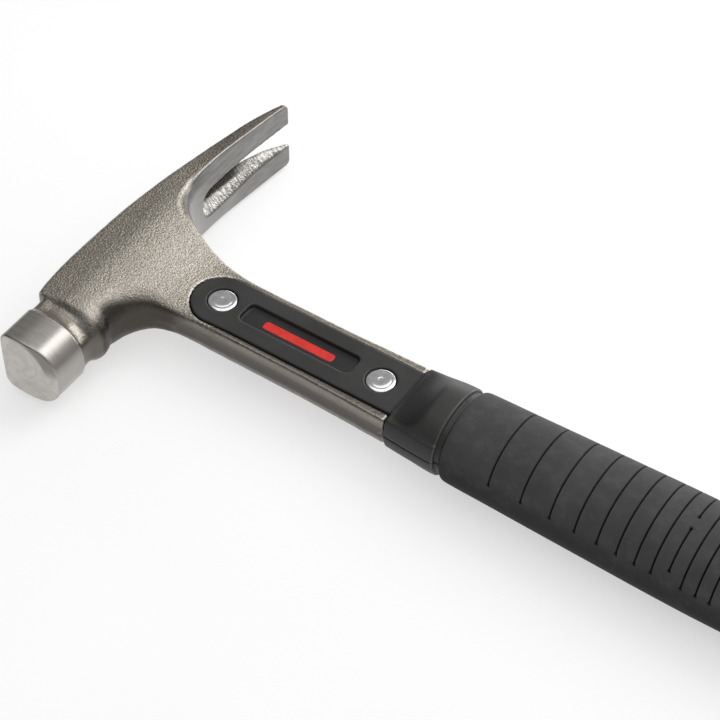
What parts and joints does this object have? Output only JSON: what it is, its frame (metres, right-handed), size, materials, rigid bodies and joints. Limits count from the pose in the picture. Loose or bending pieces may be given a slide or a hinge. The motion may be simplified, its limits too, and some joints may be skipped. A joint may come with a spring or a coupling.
{
  "type": "electrician hammer",
  "caption": "Electrician's hammer with a forged one-piece head and I-section neck, straight claw, riveted nylon handle halves and a slit rubber grip.",
  "frame": {"origin": "middle of the foot of the bounding box, with the hammer lying on its side", "axes": "+X along the handle from the head to the butt, +Y from the striking face to the claw tips, +Z across the hammer's thickness"},
  "size_m": [0.32, 0.147, 0.0328],
  "materials": {
    "forged_steel": "shot-blasted and lacquered forging, ground bright on the poll",
    "black_nylon": "satin moulded glass-filled nylon",
    "rivet_chrome": "polished chrome",
    "grip_rubber": "matte rubber"
  },
  "bodies": {
    "root": {"forged_head": "forged_steel", "handle_half_top": "black_nylon", "handle_half_bottom": "black_nylon", "front_rivet_cap": "rivet_chrome", "front_rivet_post": "rivet_chrome", "rear_rivet_cap": "rivet_chrome", "rear_rivet_post": "rivet_chrome", "grip_sleeve": "grip_rubber"}
  },
  "joints": []
}
